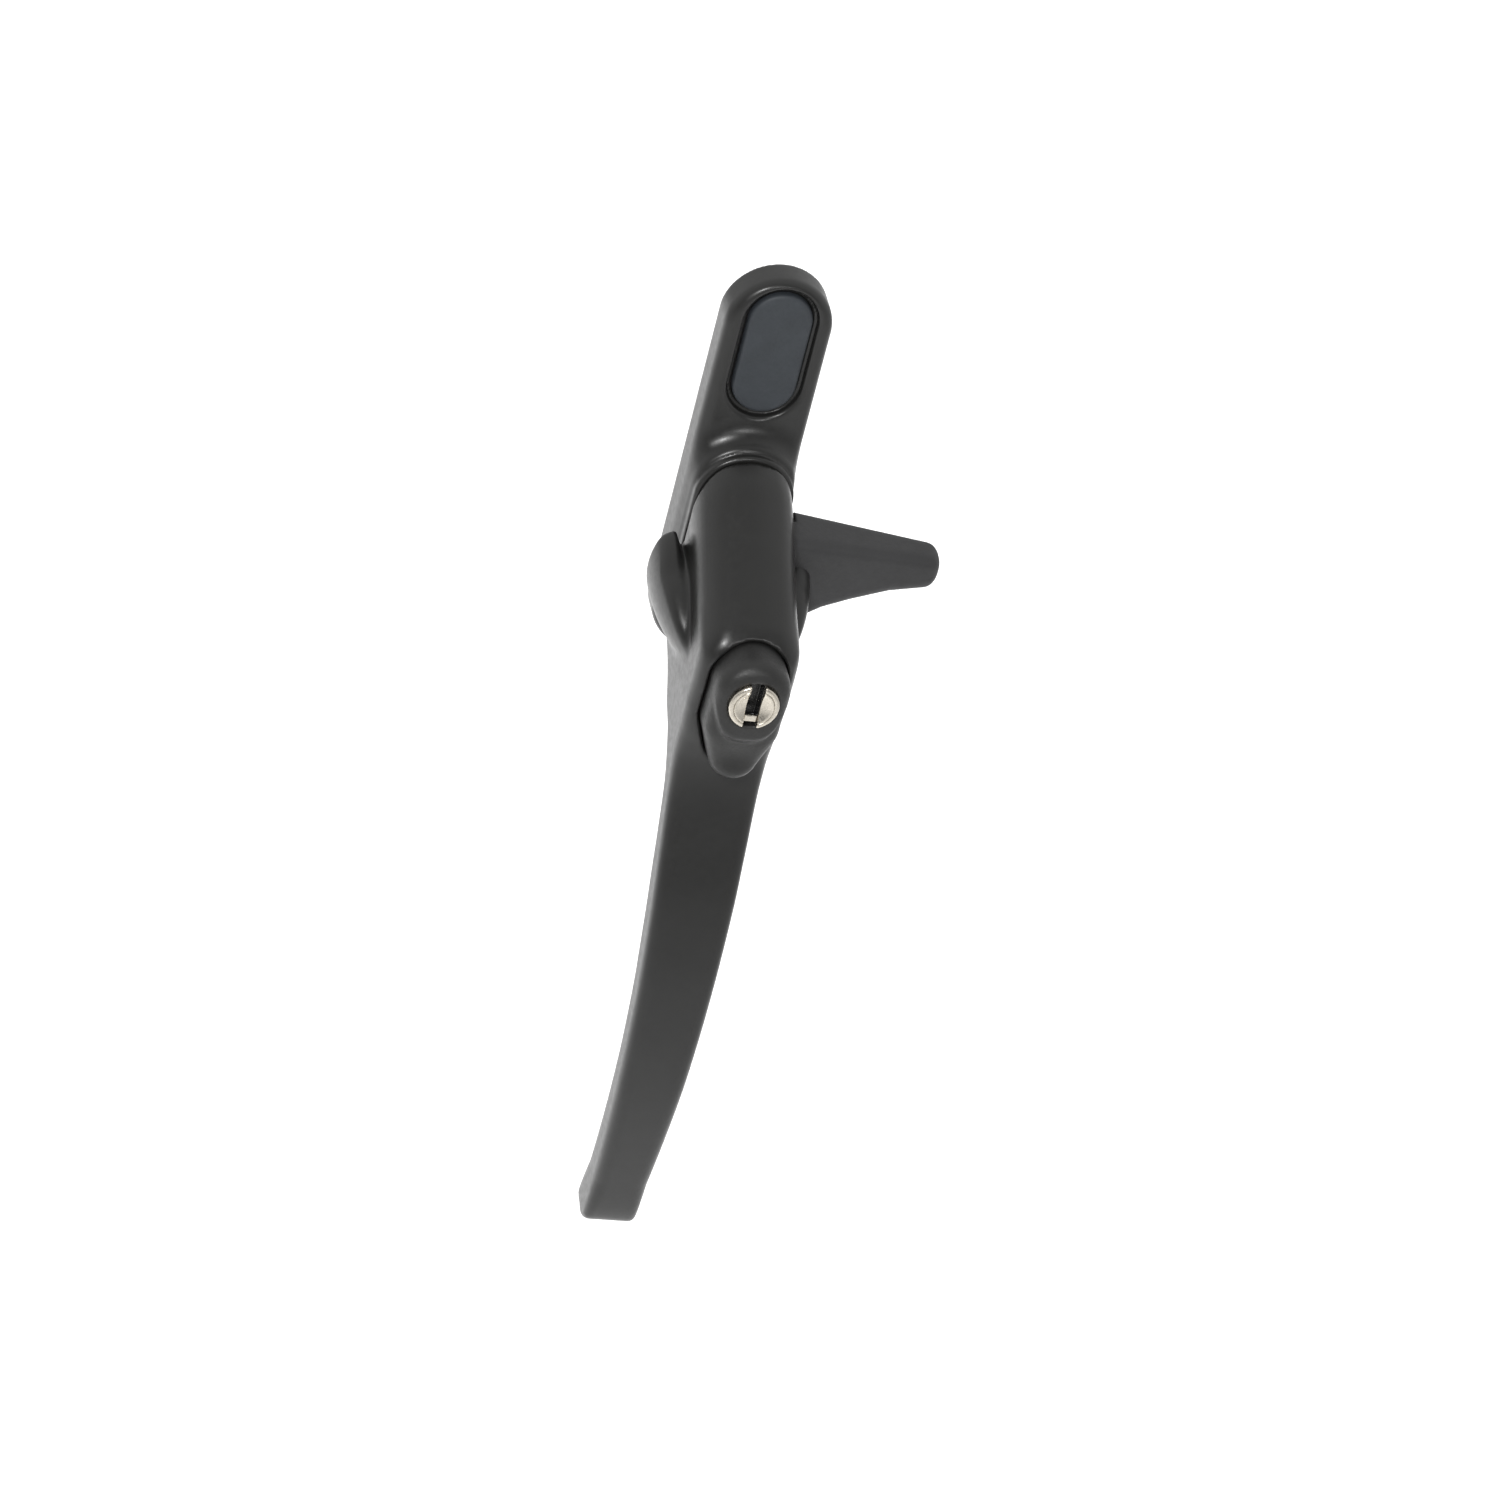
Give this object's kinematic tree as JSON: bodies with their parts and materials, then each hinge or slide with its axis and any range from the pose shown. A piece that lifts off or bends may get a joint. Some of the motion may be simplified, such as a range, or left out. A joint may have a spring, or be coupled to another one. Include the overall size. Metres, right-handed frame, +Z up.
{
  "type": "locking cockspur window handle",
  "caption": "Locking cockspur window handle: plate that screws to the sash, turning lever with a tapered nose, and a push-button key lock in the neck.",
  "frame": {"origin": "middle of the two fixing holes on the plate's flat back face", "axes": "+X towards the nose, -Y out of the window towards the user, +Z up the plate"},
  "size_m": [0.0538, 0.0506, 0.188],
  "materials": {
    "casting_black": "satin black powder coat",
    "nose_black": "matt black",
    "cap_grey": "fine matt moulding",
    "button_black": "fine spark texture",
    "nickel": "nickel plated",
    "steel": "zinc plated",
    "brass": "plain",
    "nylon": "natural"
  },
  "bodies": {
    "base": {"base_plate": "casting_black", "cover_cap": "cap_grey", "stop_pin": "steel", "thrust_washer": "nylon", "spring_washer": "steel", "flat_washer": "steel"},
    "handle": {"handle_casting": "casting_black", "pivot_spindle": "steel", "retaining_ring": "steel", "nose": "nose_black", "nose_pin": "steel", "detent_ball": "steel", "detent_spring": "steel", "cross_pin": "steel", "return_spring": "steel"},
    "lock": {"lock_button": "button_black", "lock_barrel": "nickel", "locking_pin": "steel"},
    "plug": {"key_plug": "nickel", "wafers": "brass", "wafer_springs": "steel"},
    "latch": {"side_latch": "brass"}
  },
  "joints": [
    {"name": "handle_turn", "type": "hinge", "parent": "base", "child": "handle", "pos_m": [0, 0, -0.0125], "axis": [0, 1, 0], "range_deg": [0, 90]},
    {"name": "button_press", "type": "slide", "parent": "handle", "child": "lock", "axis": [0, 1, 0], "range_m": [0, 0.005], "stiffness_N_per_m": 600, "springref_m": -0.004, "deforming": ["return_spring"]},
    {"name": "key_turn", "type": "hinge", "parent": "lock", "child": "plug", "pos_m": [0, 0, -0.017], "axis": [0, 1, 0], "range_deg": [0, 90]},
    {"name": "latch_retract", "type": "slide", "parent": "lock", "child": "latch", "axis": [1, 0, 0], "range_m": [0, 0.0008]}
  ],
  "couplings": [
    {"joint": "latch_retract", "follows": "key_turn", "m_per_rad": 0.0005}
  ]
}
